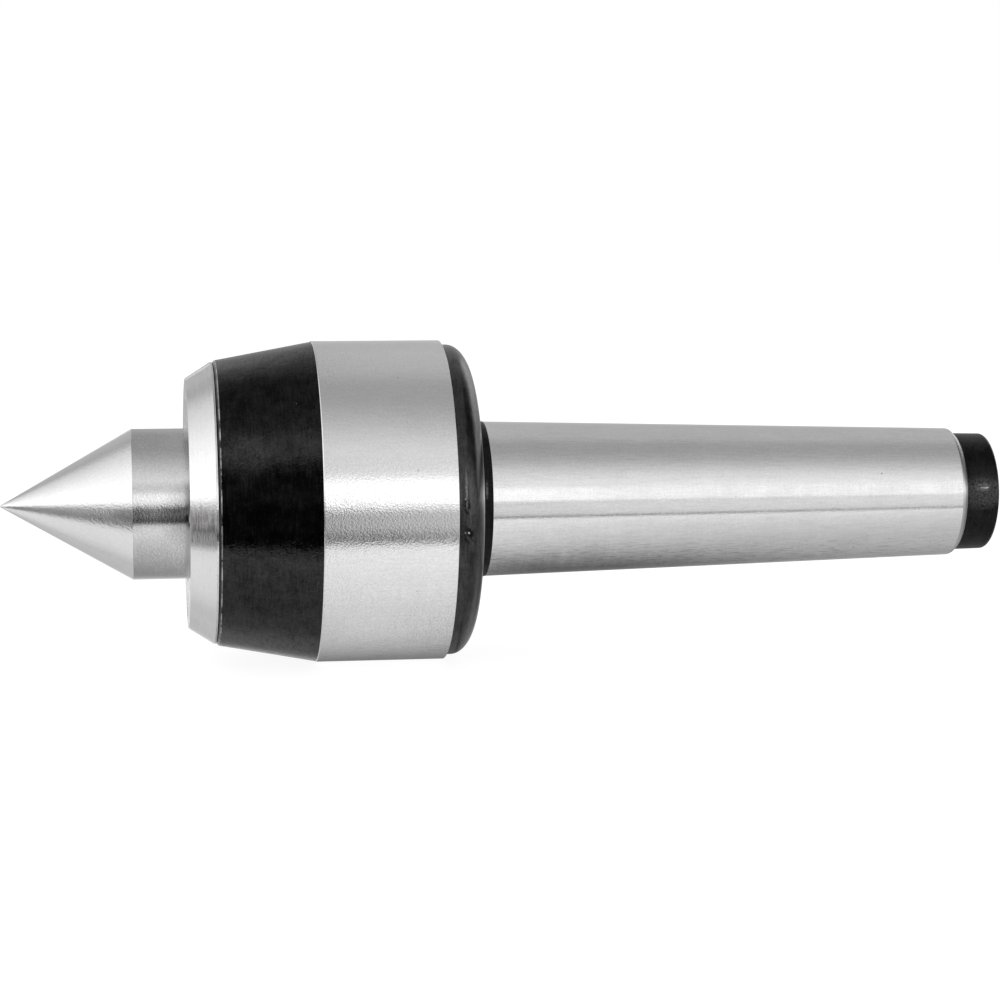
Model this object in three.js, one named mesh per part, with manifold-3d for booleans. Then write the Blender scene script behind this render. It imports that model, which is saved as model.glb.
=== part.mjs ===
// A live center: a turning 60 degree point in a bearing housing with a Morse taper 4 shank.
//
// Units are millimetres. The axis of rotation is X: the point faces -X, the shank +X, and +Z is up.
// The origin lies on the axis, midway between the tip of the point and the end of the shank.
// A place along the axis is written as a station: the distance from the tip of the point.

import * as THREE from 'three';
import { mergeVertices } from 'three/addons/utils/BufferGeometryUtils.js';
import Module from 'manifold-3d';

const wasm = await Module();
wasm.setup();

// ---- Driving dimensions ----

const OVERALL_LENGTH = 203.6;
const DEGREE = Math.PI / 180;
const RIGHT_ANGLE = 90 * DEGREE;
const POINT_HALF_ANGLE = 30 * DEGREE;

const OUTER_SEGMENTS = 48; // facets round the housing and the cap
const INNER_SEGMENTS = 32; // facets round the spindle and the rings that it carries
const TRACK_STEPS = 4; // facets across a ball track
const POCKET_SEGMENTS = 12; // facets round a cage pocket
const RIM_STEPS = 5; // facets across the rounded rear rim
const CORNER_STEPS = 2; // and across the corner at the end of the taper
const EDGE_STEPS = 3; // and across the edge of the end spigot
const SPANNER_HOLE_SEGMENTS = 12;
const NEEDLE_SEGMENTS = 8;
const CIRCLIP_CURVE_SEGMENTS = 10;
const BALL_SUBDIVISION = 1; // of an icosahedron
const MERGE_DISTANCE = 1e-4; // corners closer than this are one corner
const FIT_GAP = 0.05; // between pieces that are pressed or clamped together

// Housing and shank
const housing = {
  front: 42.65, // station of the face that the cap closes
  frontRadius: 28.8,
  edgeChamfer: 0.35,
  coneEnd: 62.3,
  coneEndRadius: 32.36,
  radius: 32.5,
  groundStart: 62.6,
  groundEnd: 88.35,
  ledgeStart: 88.5,
  ledgeRadius: 31.62,
  rearFace: 94.3,
  rimRadial: 7, // size of the rounded rear rim across the axis
  rimAxial: 4.4, // and along it
};
const shank = {
  neckRadius: 15.9,
  taperStart: 97.4,
  taperStartRadius: 15.83,
  taperEnd: 195.4,
  taperOnDiameter: 1 / 19.254, // Morse taper 4
  cornerRadius: 1.1,
  cornerFrom: 60 * DEGREE, // the rounded corner, as angles from the axis
  cornerTo: 10 * DEGREE,
  spigotStart: 196.55,
  spigotRadius: 12.2,
  spigotEndRadius: 12.05,
  spigotEdge: 0.9,
  centreHoleRadius: 4,
  centreDrillRadius: 1.6,
  centreHoleDepth: 10,
  centreHoleHalfAngle: 30 * DEGREE,
};

// Front cap: a flange outside the housing and a threaded boss inside it
const cap = {
  front: 37.1,
  faceRadius: 25.2,
  radius: 28.4,
  chamferLength: 5,
  flangeEdge: 0.2,
  boreRadius: 15.5,
  lipLength: 2.5,
  recessRadius: 20.5,
  boss: 24.9,
  spannerHoleCount: 4,
  spannerHoleRadius: 1.9,
  spannerHoleCircle: 21,
  spannerHoleDepth: 3.5,
};
const seal = { width: 5, boreRadius: 15.32, webThickness: 1.6, wall: 1.5 };

// Spindle
const spindle = {
  noseRadius: 15.15,
  frontJournal: 12.45,
  thrustJournal: 9.95,
  rearJournal: 7.45,
  thrustShoulder: 66.5,
  rearStep: 77.5,
  end: 98.9,
  endChamfer: 0.8,
};

// Front ball bearing, 25 x 47 x 12
const frontBearing = {
  start: 50,
  width: 12,
  outerRadius: 23.5,
  outerRaceBore: 20.4,
  innerRaceRadius: 15.6,
  boreRadius: 12.5,
  pitchRadius: 18,
  ballRadius: 3.2,
  ballCount: 10,
  edge: 0.6,
  cageInner: 16.6,
  cageOuter: 19.4,
  cageHalfWidth: 4.4,
  pocketClearance: 0.2,
};

// Retaining ring behind the front bearing
const circlip = {
  start: 62.1,
  thickness: 1.2,
  innerRadius: 12,
  outerRadius: 14.8,
  grooveRadius: 11.7,
  lugRadius: 17.2,
  lugHoleRadius: 1,
  gapAngle: 9 * DEGREE,
  lugAngle: 12 * DEGREE,
};

// Thrust ball bearing, 20 x 35 x 10
const thrust = {
  start: 66.6,
  height: 9.8,
  washerThickness: 3,
  boreRadius: 10,
  housingBoreRadius: 10.6,
  shaftWasherRadius: 17.2,
  outerRadius: 17.45,
  pitchRadius: 13.75,
  ballRadius: 2.7,
  ballCount: 12,
  edge: 0.5,
  cageInner: 10.35,
  cageOuter: 17.1,
  cageHalfThickness: 0.8,
  pocketClearance: 0.15,
};
const BALL_TRACK_CLEARANCE = 0.2;

// Disc spring behind the thrust bearing
const spring = { start: 76.45, innerRadius: 10.65, outerRadius: 17.3, thickness: 1, coneHeight: 0.65 };

// Rear needle bearing, 15 x 21 x 16
const needle = {
  start: 82,
  width: 16,
  shellRadius: 10.5,
  shellInner: 9.6,
  lipInner: 8.3,
  lipThickness: 0.8,
  pitchRadius: 8.5,
  radius: 0.98,
  length: 12,
  count: 14,
  cageInner: 7.95,
  cageOuter: 9.1,
  cageLength: 13.6,
  slotClearance: 0.15,
  slotDepth: 4,
};

// Bores in the housing, from the front
const bores = {
  thread: 25,
  bearing: frontBearing.outerRadius + FIT_GAP,
  bearingStart: frontBearing.start - 2 * FIT_GAP,
  relief: 20.4,
  reliefEnd: 65.5,
  thrust: thrust.outerRadius + FIT_GAP,
  thrustEnd: 78.2,
  needle: needle.shellRadius + FIT_GAP,
  needleEnd: 98.3,
  drillHalfAngle: 59 * DEGREE,
};

// ---- Materials ----

const steel = (color, roughness) => new THREE.MeshStandardMaterial({ color, roughness, metalness: 1 });
const groundSteel = steel(0xc4c5c8, 0.32);
const turnedSteel = steel(0xcfcfd0, 0.28);
const hardenedSteel = steel(0xb4b5b8, 0.36);
const bearingSteel = steel(0xb9bcc0, 0.18);
const ballSteel = steel(0xdadcde, 0.06);
const springSteel = steel(0x3d3f44, 0.4);
const brass = steel(0xb8923f, 0.35);
const rubber = new THREE.MeshStandardMaterial({ color: 0x17171a, roughness: 0.75, metalness: 0 });

// ---- Shape helpers ----

const onAxis = (station) => station - OVERALL_LENGTH / 2;

/** Points of an elliptical arc in (station, radius), from one angle to another. */
function arc(station, radius, alongAxis, acrossAxis, from, to, steps) {
  return Array.from({ length: steps + 1 }, (_, i) => {
    const angle = from + ((to - from) * i) / steps;
    return [station + alongAxis * Math.cos(angle), radius + acrossAxis * Math.sin(angle)];
  });
}

/**
 * A solid of revolution about X from points [station, radius], listed front to rear along the
 * outside and back along the bore. It starts and ends on the axis, or closes on itself.
 */
function turned(points, segments) {
  const profile = points.map(([station, radius]) => new THREE.Vector2(radius, onAxis(station)));
  const touchesAxis = points[0][1] === 0;
  if (!touchesAxis) profile.push(profile[0].clone());
  return new THREE.LatheGeometry(profile, segments).rotateZ(-Math.PI / 2);
}

function toManifold(geometry) {
  const bare = geometry.clone();
  bare.deleteAttribute('normal');
  bare.deleteAttribute('uv');
  const merged = mergeVertices(bare, MERGE_DISTANCE);
  return new wasm.Manifold(new wasm.Mesh({
    numProp: 3,
    vertProperties: merged.getAttribute('position').array,
    triVerts: new Uint32Array(merged.getIndex().array),
  }));
}

function fromManifold(solid) {
  const mesh = solid.getMesh();
  const geometry = new THREE.BufferGeometry();
  geometry.setAttribute('position', new THREE.BufferAttribute(mesh.vertProperties, 3));
  geometry.setIndex(new THREE.BufferAttribute(mesh.triVerts, 1));
  geometry.computeVertexNormals();
  return geometry;
}

/** Cuts a list of tool geometries out of a blank. */
function cut(blank, tools) {
  const solid = tools.reduce((rest, tool) => rest.subtract(toManifold(tool)), toManifold(blank));
  return fromManifold(solid);
}

/** The same geometry repeated evenly round the axis. */
function aroundAxis(geometry, count, firstAngle = 0) {
  return Array.from({ length: count }, (_, i) =>
    geometry.clone().rotateX(firstAngle + (2 * Math.PI * i) / count));
}

const group = new THREE.Group();

function addPiece(name, geometry, material) {
  const mesh = new THREE.Mesh(geometry, material);
  mesh.name = name;
  group.add(mesh);
}

/** Adds numbered copies of a geometry, spaced evenly round the axis. */
function addRing(prefix, geometry, count, material) {
  aroundAxis(geometry, count).forEach((copy, i) => {
    addPiece(`${prefix}_${String(i + 1).padStart(2, '0')}`, copy, material);
  });
}

// ---- Housing and shank ----

function bodyOutside() {
  const { rearFace, rimAxial, rimRadial, ledgeRadius } = housing;
  const taperEndRadius = shank.taperStartRadius
    - ((shank.taperEnd - shank.taperStart) * shank.taperOnDiameter) / 2;
  const corner = shank.cornerRadius;
  const edge = shank.spigotEdge;
  return [
    [housing.front, housing.frontRadius - housing.edgeChamfer],
    [housing.front + housing.edgeChamfer, housing.frontRadius],
    [housing.coneEnd, housing.coneEndRadius],
    [housing.groundStart, housing.radius],
    [housing.groundEnd, housing.radius],
    [housing.ledgeStart, ledgeRadius],
    ...arc(rearFace - rimAxial, ledgeRadius - rimRadial, rimAxial, rimRadial, RIGHT_ANGLE, 0, RIM_STEPS),
    [rearFace, shank.neckRadius],
    [shank.taperStart, shank.taperStartRadius],
    [shank.taperEnd, taperEndRadius],
    ...arc(shank.taperEnd, taperEndRadius - corner, corner, corner,
      shank.cornerFrom, shank.cornerTo, CORNER_STEPS),
    [shank.spigotStart, shank.spigotRadius],
    ...arc(OVERALL_LENGTH - edge, shank.spigotEndRadius - edge, edge, edge,
      RIGHT_ANGLE, 0, EDGE_STEPS),
  ];
}

function centreHole() {
  const coneLength = (shank.centreHoleRadius - shank.centreDrillRadius) / Math.tan(shank.centreHoleHalfAngle);
  const bottom = OVERALL_LENGTH - shank.centreHoleDepth;
  return [
    [OVERALL_LENGTH, shank.centreHoleRadius],
    [OVERALL_LENGTH - coneLength, shank.centreDrillRadius],
    [bottom, shank.centreDrillRadius],
    [bottom, 0],
  ];
}

function bodyBores() {
  const bearingEnd = frontBearing.start + frontBearing.width + FIT_GAP;
  return [
    [bores.needleEnd + bores.needle / Math.tan(bores.drillHalfAngle), 0],
    [bores.needleEnd, bores.needle],
    [bores.thrustEnd, bores.needle],
    [bores.thrustEnd, bores.thrust],
    [bores.reliefEnd, bores.thrust],
    [bores.reliefEnd, bores.relief],
    [bearingEnd, bores.relief],
    [bearingEnd, bores.bearing],
    [bores.bearingStart, bores.bearing],
    [bores.bearingStart, bores.thread],
    [housing.front, bores.thread],
  ];
}

function addBody() {
  const profile = [...bodyBores(), ...bodyOutside(), ...centreHole()];
  addPiece('body', turned(profile, OUTER_SEGMENTS), groundSteel);
}

// ---- Front cap and seal ----

function addFrontCap() {
  const flangeEnd = housing.front - FIT_GAP;
  const bossEnd = bores.bearingStart - FIT_GAP;
  const blank = turned([
    [cap.front, cap.boreRadius],
    [cap.front, cap.faceRadius],
    [cap.front + cap.chamferLength, cap.radius],
    [flangeEnd - cap.flangeEdge, cap.radius],
    [flangeEnd, cap.radius - cap.flangeEdge],
    [flangeEnd, cap.boss],
    [bossEnd, cap.boss],
    [bossEnd, cap.recessRadius],
    [cap.front + cap.lipLength, cap.recessRadius],
    [cap.front + cap.lipLength, cap.boreRadius],
  ], OUTER_SEGMENTS);
  const hole = new THREE.CylinderGeometry(
    cap.spannerHoleRadius, cap.spannerHoleRadius, 2 * cap.spannerHoleDepth, SPANNER_HOLE_SEGMENTS);
  hole.rotateZ(Math.PI / 2);
  hole.translate(onAxis(cap.front), 0, cap.spannerHoleCircle);
  addPiece('front_cap', cut(blank, aroundAxis(hole, cap.spannerHoleCount)), turnedSteel);
}

function addFrontSeal() {
  const start = cap.front + cap.lipLength + FIT_GAP;
  const end = start + seal.width;
  const outer = cap.recessRadius - FIT_GAP;
  const { boreRadius, wall } = seal;
  addPiece('front_seal', turned([
    [start, boreRadius],
    [start, outer],
    [end, outer],
    [end, outer - wall],
    [start + seal.webThickness, outer - wall],
    [start + seal.webThickness, boreRadius + wall],
    [end, boreRadius + wall / 2],
    [end, boreRadius],
  ], INNER_SEGMENTS), rubber);
}

// ---- Spindle and its retaining ring ----

function addSpindle() {
  const noseStart = spindle.noseRadius / Math.tan(POINT_HALF_ANGLE);
  const shoulder = frontBearing.start - FIT_GAP;
  const groove = [circlip.start - FIT_GAP, circlip.start + circlip.thickness + FIT_GAP];
  const chamfer = spindle.endChamfer;
  addPiece('spindle', turned([
    [0, 0],
    [noseStart, spindle.noseRadius],
    [shoulder, spindle.noseRadius],
    [shoulder, spindle.frontJournal],
    [groove[0], spindle.frontJournal],
    [groove[0], circlip.grooveRadius],
    [groove[1], circlip.grooveRadius],
    [groove[1], spindle.frontJournal],
    [spindle.thrustShoulder, spindle.frontJournal],
    [spindle.thrustShoulder, spindle.thrustJournal],
    [spindle.rearStep, spindle.thrustJournal],
    [spindle.rearStep + chamfer, spindle.rearJournal],
    [spindle.end - chamfer, spindle.rearJournal],
    [spindle.end, spindle.rearJournal - chamfer],
    [spindle.end, 0],
  ], INNER_SEGMENTS), hardenedSteel);
}

function addCirclip() {
  const { innerRadius, outerRadius, lugRadius, gapAngle, lugAngle, lugHoleRadius } = circlip;
  const lugEnd = gapAngle + lugAngle;
  const shape = new THREE.Shape();
  shape.absarc(0, 0, lugRadius, gapAngle, lugEnd, false);
  shape.absarc(0, 0, outerRadius, lugEnd, 2 * Math.PI - lugEnd, false);
  shape.absarc(0, 0, lugRadius, 2 * Math.PI - lugEnd, 2 * Math.PI - gapAngle, false);
  shape.absarc(0, 0, innerRadius, 2 * Math.PI - gapAngle, gapAngle, true);
  for (const side of [-1, 1]) {
    const angle = side * (gapAngle + lugAngle / 2);
    const reach = (outerRadius + lugRadius) / 2 - lugHoleRadius / 2;
    const hole = new THREE.Path();
    hole.absarc(reach * Math.cos(angle), reach * Math.sin(angle), lugHoleRadius, 0, 2 * Math.PI, true);
    shape.holes.push(hole);
  }
  const ring = new THREE.ExtrudeGeometry(shape, {
    depth: circlip.thickness, bevelEnabled: false, curveSegments: CIRCLIP_CURVE_SEGMENTS,
  });
  ring.rotateY(Math.PI / 2).translate(onAxis(circlip.start), 0, 0);
  addPiece('bearing_circlip', ring, springSteel);
}

// ---- Front ball bearing ----

function addFrontBearing() {
  const { start, width, pitchRadius, ballRadius, ballCount, edge } = frontBearing;
  const middle = start + width / 2;
  const end = start + width;
  const track = ballRadius + BALL_TRACK_CLEARANCE;
  const outerReach = Math.acos((frontBearing.outerRaceBore - pitchRadius) / track);
  const innerReach = Math.acos((pitchRadius - frontBearing.innerRaceRadius) / track);
  addPiece('front_bearing_outer_race', turned([
    [start, frontBearing.outerRadius - edge],
    [start + edge, frontBearing.outerRadius],
    [end - edge, frontBearing.outerRadius],
    [end, frontBearing.outerRadius - edge],
    [end, frontBearing.outerRaceBore],
    ...arc(middle, pitchRadius, track, track,
      RIGHT_ANGLE - outerReach, RIGHT_ANGLE + outerReach, TRACK_STEPS),
    [start, frontBearing.outerRaceBore],
  ], INNER_SEGMENTS), bearingSteel);
  addPiece('front_bearing_inner_race', turned([
    [start, frontBearing.boreRadius],
    [start, frontBearing.innerRaceRadius],
    ...arc(middle, pitchRadius, track, track,
      3 * RIGHT_ANGLE - innerReach, 3 * RIGHT_ANGLE + innerReach, TRACK_STEPS),
    [end, frontBearing.innerRaceRadius],
    [end, frontBearing.boreRadius],
  ], INNER_SEGMENTS), bearingSteel);

  const cageBlank = turned([
    [middle - frontBearing.cageHalfWidth, frontBearing.cageInner],
    [middle - frontBearing.cageHalfWidth, frontBearing.cageOuter],
    [middle + frontBearing.cageHalfWidth, frontBearing.cageOuter],
    [middle + frontBearing.cageHalfWidth, frontBearing.cageInner],
  ], 2 * ballCount);
  const pocketRadius = ballRadius + frontBearing.pocketClearance;
  const pocket = new THREE.CylinderGeometry(pocketRadius, pocketRadius, 2 * ballRadius, POCKET_SEGMENTS);
  pocket.rotateX(Math.PI / 2).translate(onAxis(middle), 0, pitchRadius);
  addPiece('front_bearing_cage', cut(cageBlank, aroundAxis(pocket, ballCount)), brass);

  const ball = new THREE.IcosahedronGeometry(ballRadius, BALL_SUBDIVISION);
  ball.translate(onAxis(middle), 0, pitchRadius);
  addRing('front_ball', ball, ballCount, ballSteel);
}

// ---- Thrust ball bearing and disc spring ----

/** A washer with a ball track on one face; side is +1 when the track faces the rear. */
function thrustWasher(faceStation, side, boreRadius, outerRadius, ballStation) {
  const { washerThickness, pitchRadius, ballRadius, edge } = thrust;
  const track = ballRadius + BALL_TRACK_CLEARANCE;
  const trackFace = faceStation + side * washerThickness;
  const reach = Math.acos(Math.abs(ballStation - trackFace) / track);
  const towardsFace = side > 0 ? Math.PI : 0;
  const groove = arc(ballStation, pitchRadius, track, track,
    towardsFace - reach, towardsFace + reach, TRACK_STEPS);
  const points = [
    [faceStation, boreRadius],
    [faceStation, outerRadius - edge],
    [faceStation + side * edge, outerRadius],
    [trackFace, outerRadius],
    ...(side > 0 ? groove : groove.reverse()),
    [trackFace, boreRadius],
  ];
  return turned(side > 0 ? points : points.reverse(), INNER_SEGMENTS);
}

function addThrustBearing() {
  const { start, height, pitchRadius, ballRadius, ballCount } = thrust;
  const end = start + height;
  const middle = start + height / 2;
  addPiece('thrust_shaft_washer',
    thrustWasher(start, 1, thrust.boreRadius, thrust.shaftWasherRadius, middle), bearingSteel);
  addPiece('thrust_housing_washer',
    thrustWasher(end, -1, thrust.housingBoreRadius, thrust.outerRadius, middle), bearingSteel);

  const cageBlank = turned([
    [middle - thrust.cageHalfThickness, thrust.cageInner],
    [middle - thrust.cageHalfThickness, thrust.cageOuter],
    [middle + thrust.cageHalfThickness, thrust.cageOuter],
    [middle + thrust.cageHalfThickness, thrust.cageInner],
  ], 2 * ballCount);
  const pocketRadius = ballRadius + thrust.pocketClearance;
  const pocket = new THREE.CylinderGeometry(pocketRadius, pocketRadius, 2 * ballRadius, POCKET_SEGMENTS);
  pocket.rotateZ(Math.PI / 2).translate(onAxis(middle), 0, pitchRadius);
  addPiece('thrust_cage', cut(cageBlank, aroundAxis(pocket, ballCount)), brass);

  const ball = new THREE.IcosahedronGeometry(ballRadius, BALL_SUBDIVISION);
  ball.translate(onAxis(middle), 0, pitchRadius);
  addRing('thrust_ball', ball, ballCount, ballSteel);
}

function addDiscSpring() {
  addPiece('preload_disc_spring', turned([
    [spring.start + spring.coneHeight, spring.innerRadius],
    [spring.start, spring.outerRadius],
    [spring.start + spring.thickness, spring.outerRadius],
    [spring.start + spring.coneHeight + spring.thickness, spring.innerRadius],
  ], INNER_SEGMENTS), springSteel);
}

// ---- Rear needle bearing ----

function addNeedleBearing() {
  const end = needle.start + needle.width;
  const middle = needle.start + needle.width / 2;
  addPiece('needle_shell', turned([
    [needle.start, needle.lipInner],
    [needle.start, needle.shellRadius],
    [end, needle.shellRadius],
    [end, needle.lipInner],
    [end - needle.lipThickness, needle.lipInner],
    [end - needle.lipThickness, needle.shellInner],
    [needle.start + needle.lipThickness, needle.shellInner],
    [needle.start + needle.lipThickness, needle.lipInner],
  ], INNER_SEGMENTS), bearingSteel);

  const cageBlank = turned([
    [middle - needle.cageLength / 2, needle.cageInner],
    [middle - needle.cageLength / 2, needle.cageOuter],
    [middle + needle.cageLength / 2, needle.cageOuter],
    [middle + needle.cageLength / 2, needle.cageInner],
  ], 2 * needle.count);
  const slot = new THREE.BoxGeometry(
    needle.length + 2 * needle.slotClearance, 2 * (needle.radius + needle.slotClearance),
    needle.slotDepth);
  slot.translate(onAxis(middle), 0, needle.pitchRadius);
  addPiece('needle_cage', cut(cageBlank, aroundAxis(slot, needle.count)), brass);

  const roller = new THREE.CylinderGeometry(
    needle.radius, needle.radius, needle.length, NEEDLE_SEGMENTS);
  roller.rotateZ(Math.PI / 2).translate(onAxis(middle), 0, needle.pitchRadius);
  addRing('needle', roller, needle.count, ballSteel);
}

// ---- Assembly ----

addBody();
addFrontCap();
addFrontSeal();
addSpindle();
addCirclip();
addFrontBearing();
addThrustBearing();
addDiscSpring();
addNeedleBearing();

export default group;
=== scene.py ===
"""Looks of a live center: a turning 60 degree point in a round housing with a Morse taper shank.

The script builds a fine mesh for every CAD node, in metres, round the axis of rotation X. The point
faces -X. A place along the axis is a station: its distance from the tip of the point, in millimetres.
"""

import math

import bpy
from mathutils import Matrix, Vector


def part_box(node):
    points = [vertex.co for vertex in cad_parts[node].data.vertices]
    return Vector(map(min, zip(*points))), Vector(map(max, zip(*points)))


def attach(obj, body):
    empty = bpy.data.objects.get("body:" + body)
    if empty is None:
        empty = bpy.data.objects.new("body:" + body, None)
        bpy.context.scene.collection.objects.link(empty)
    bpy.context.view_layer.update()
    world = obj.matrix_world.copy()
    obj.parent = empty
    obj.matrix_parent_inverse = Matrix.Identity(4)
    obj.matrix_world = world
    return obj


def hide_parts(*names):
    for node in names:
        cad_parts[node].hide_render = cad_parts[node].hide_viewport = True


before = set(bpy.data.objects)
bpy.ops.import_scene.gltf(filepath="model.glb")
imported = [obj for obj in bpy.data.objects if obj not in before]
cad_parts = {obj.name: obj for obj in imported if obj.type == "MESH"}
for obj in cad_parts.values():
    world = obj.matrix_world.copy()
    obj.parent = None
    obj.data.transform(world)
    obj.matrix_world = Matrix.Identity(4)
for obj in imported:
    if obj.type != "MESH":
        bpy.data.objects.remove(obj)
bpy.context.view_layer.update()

MM = 0.001
TIP_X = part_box("spindle")[0].x
SEGMENTS = 256  # round the pieces that show
INNER_SEGMENTS = 128  # round the pieces inside the housing
SUPPORT = 0.04  # mm, how far the extra rings that keep flat bands flat stand from a corner
ARC_STEP = math.radians(12)  # turn of a rounded corner per ring
LEAST_TURN = math.radians(1)  # a corner that turns less stays sharp
FILLET_SHARE = 0.45  # of a band that the rounding of one of its corners may use up
ON_AXIS = 1e-6  # mm, a ring under this radius is a single vertex


# ---------------------------------------------------------------- sizes read from the CAD frame

def station(x):
    """Station in mm of a place on the X axis in metres."""
    return (x - TIP_X) / MM


def span(node):
    """First station, last station and outer radius of a CAD node, in mm."""
    low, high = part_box(node)
    return station(low.x), station(high.x), high.z / MM


BODY_FRONT, OVERALL_LENGTH, BODY_RADIUS = span("body")
CAP_FRONT, CAP_REAR, CAP_RADIUS = span("front_cap")
SPINDLE_END = span("spindle")[1]
NOSE_RADIUS = span("spindle")[2]
SEAL_FRONT, SEAL_REAR, SEAL_RADIUS = span("front_seal")
RACE_FRONT, RACE_REAR, RACE_RADIUS = span("front_bearing_outer_race")
CLIP_FRONT, CLIP_REAR, _ = span("bearing_circlip")
SHAFT_WASHER_FRONT, SHAFT_WASHER_REAR, SHAFT_WASHER_RADIUS = span("thrust_shaft_washer")
HOUSE_WASHER_FRONT, HOUSE_WASHER_REAR, HOUSE_WASHER_RADIUS = span("thrust_housing_washer")
SPRING_FRONT, SPRING_REAR, SPRING_RADIUS = span("preload_disc_spring")
SHELL_FRONT, SHELL_REAR, SHELL_RADIUS = span("needle_shell")
NEEDLE_FRONT, NEEDLE_REAR, _ = span("needle_01")


# ---------------------------------------------------------------- profiles and meshes

def rounded(corners, closed=False):
    """Rounds a polyline of (station, radius, corner radius, zone) and returns (station, radius, zone).

    The zone of a corner is the material of its rounding and of the band that follows it.
    """
    points = []
    count = len(corners)
    for i, (s, r, fillet, zone) in enumerate(corners):
        at_end = not closed and i in (0, count - 1)
        if at_end or fillet <= 0:
            points.append((s, r, zone))
            continue
        here = Vector((s, r))
        before = Vector(corners[i - 1][:2]) - here
        after = Vector(corners[(i + 1) % count][:2]) - here
        opening = before.angle(after)
        turn = math.pi - opening
        if turn < LEAST_TURN:
            points.append((s, r, zone))
            continue
        longest = FILLET_SHARE * min(before.length, after.length)
        reach = min(fillet / math.tan(opening / 2), longest)
        radius = reach * math.tan(opening / 2)
        bisector = (before.normalized() + after.normalized()).normalized()
        middle = here + bisector * radius / math.sin(opening / 2)
        start = here + before.normalized() * reach - middle
        steps = max(2, math.ceil(turn / ARC_STEP))
        sense = 1 if before.x * after.y - before.y * after.x < 0 else -1
        for k in range(steps + 1):
            p = middle + Matrix.Rotation(sense * turn * k / steps, 2) @ start
            points.append((p.x, p.y, zone))
    return points


def supported(points, closed):
    """Adds a ring close to each end of every long band, so that smooth shading keeps it flat."""
    out = []
    pairs = list(zip(points, points[1:] + (points[:1] if closed else [])))
    for (s0, r0, zone), (s1, r1, _) in pairs:
        out.append((s0, r0, zone))
        length = math.hypot(s1 - s0, r1 - r0)
        if length > 6 * SUPPORT:
            for share in (SUPPORT / length, 1 - SUPPORT / length):
                out.append((s0 + (s1 - s0) * share, r0 + (r1 - r0) * share, zone))
    if not closed:
        out.append(points[-1])
    return out


def link_object(name, data):
    made = bpy.data.objects.new(name, data)
    bpy.context.scene.collection.objects.link(made)
    return made


def mesh_object(name, vertices, faces, zones, materials):
    """A smooth mesh whose faces take the material of their zone."""
    mesh = bpy.data.meshes.new(name)
    mesh.from_pydata(vertices, [], faces)
    for material in materials:
        mesh.materials.append(material)
    mesh.polygons.foreach_set("material_index", zones)
    mesh.polygons.foreach_set("use_smooth", [True] * len(faces))
    mesh.update()
    return link_object(name, mesh)


def lathe(name, corners, materials, closed=False, segments=INNER_SEGMENTS):
    """Turns a profile about X. It runs front to rear along the outside and back along the bore."""
    points = supported(rounded(corners, closed), closed)
    vertices, rings = [], []
    for s, r, _ in points:
        x = TIP_X + s * MM
        if r < ON_AXIS:
            rings.append([len(vertices)] * segments)
            vertices.append((x, 0, 0))
            continue
        rings.append(list(range(len(vertices), len(vertices) + segments)))
        for k in range(segments):
            angle = 2 * math.pi * k / segments
            vertices.append((x, r * MM * math.cos(angle), r * MM * math.sin(angle)))
    faces, zones = [], []
    last = len(points) if closed else len(points) - 1
    for i in range(last):
        a, b = rings[i], rings[(i + 1) % len(rings)]
        for k in range(segments):
            n = (k + 1) % segments
            corners_of_face = dict.fromkeys((a[k], a[n], b[n], b[k]))
            if len(corners_of_face) > 2:
                faces.append(tuple(corners_of_face))
                zones.append(points[i][2])
    return mesh_object(name, vertices, faces, zones, materials)


def arc(s, r, along, across, start, end, steps, zone=0):
    """Corners of an elliptical arc in (station, radius), angles in degrees."""
    corners = []
    for k in range(steps + 1):
        angle = math.radians(start + (end - start) * k / steps)
        corners.append((s + along * math.cos(angle), r + across * math.sin(angle), 0, zone))
    return corners


def thread(start, end, root, crest, pitch, zone=0):
    """Corners of a thread drawn as rings, from one station to another."""
    corners = []
    turns = round(abs(end - start) / pitch)
    step = (end - start) / turns
    for k in range(turns):
        for share, r in ((0, root), (0.4, crest), (0.55, crest), (0.95, root)):
            corners.append((start + (k + share) * step, r, 0, zone))
    return corners


def cut(piece, cutters):
    """Cuts cutter meshes out of a piece and deletes them."""
    for cutter in cutters:
        modifier = piece.modifiers.new("cut", "BOOLEAN")
        modifier.operation = "DIFFERENCE"
        modifier.solver = "EXACT"
        modifier.object = cutter
    bpy.context.view_layer.update()
    evaluated = piece.evaluated_get(bpy.context.evaluated_depsgraph_get())
    result = bpy.data.meshes.new_from_object(evaluated)
    piece.modifiers.clear()
    piece.data = result
    for cutter in cutters:
        bpy.data.objects.remove(cutter)
    return piece


def cutters_at(spots, outline, segments, material):
    """A turned cutter, its axis along X, at each spot across the axis of the object."""
    cutters = []
    for spot in spots:
        cutter = lathe("cutter", outline, [material], segments=segments)
        cutter.data.transform(Matrix.Translation((0, spot.y, spot.z)))
        cutters.append(cutter)
    return cutters


def place(piece, body):
    """Hides the CAD node a piece is named after, so that the piece stands in for it, and lets it ride on its
    body.
    """
    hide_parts(piece.name.removesuffix("_look"))
    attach(piece, body)
    return piece


# ---------------------------------------------------------------- node helpers

def node(tree, kind, inputs=None, **settings):
    """Adds a shader node, sets its properties and fills or links its inputs."""
    made = tree.nodes.new("ShaderNode" + kind)
    for key, value in settings.items():
        setattr(made, key, value)
    for key, value in (inputs or {}).items():
        socket = made.inputs[key]
        if isinstance(value, bpy.types.NodeSocket):
            tree.links.new(value, socket)
        else:
            socket.default_value = value
    return made


def maths(tree, operation, *values, clamp=False):
    return node(tree, "Math", dict(enumerate(values)), operation=operation, use_clamp=clamp).outputs[0]


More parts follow.
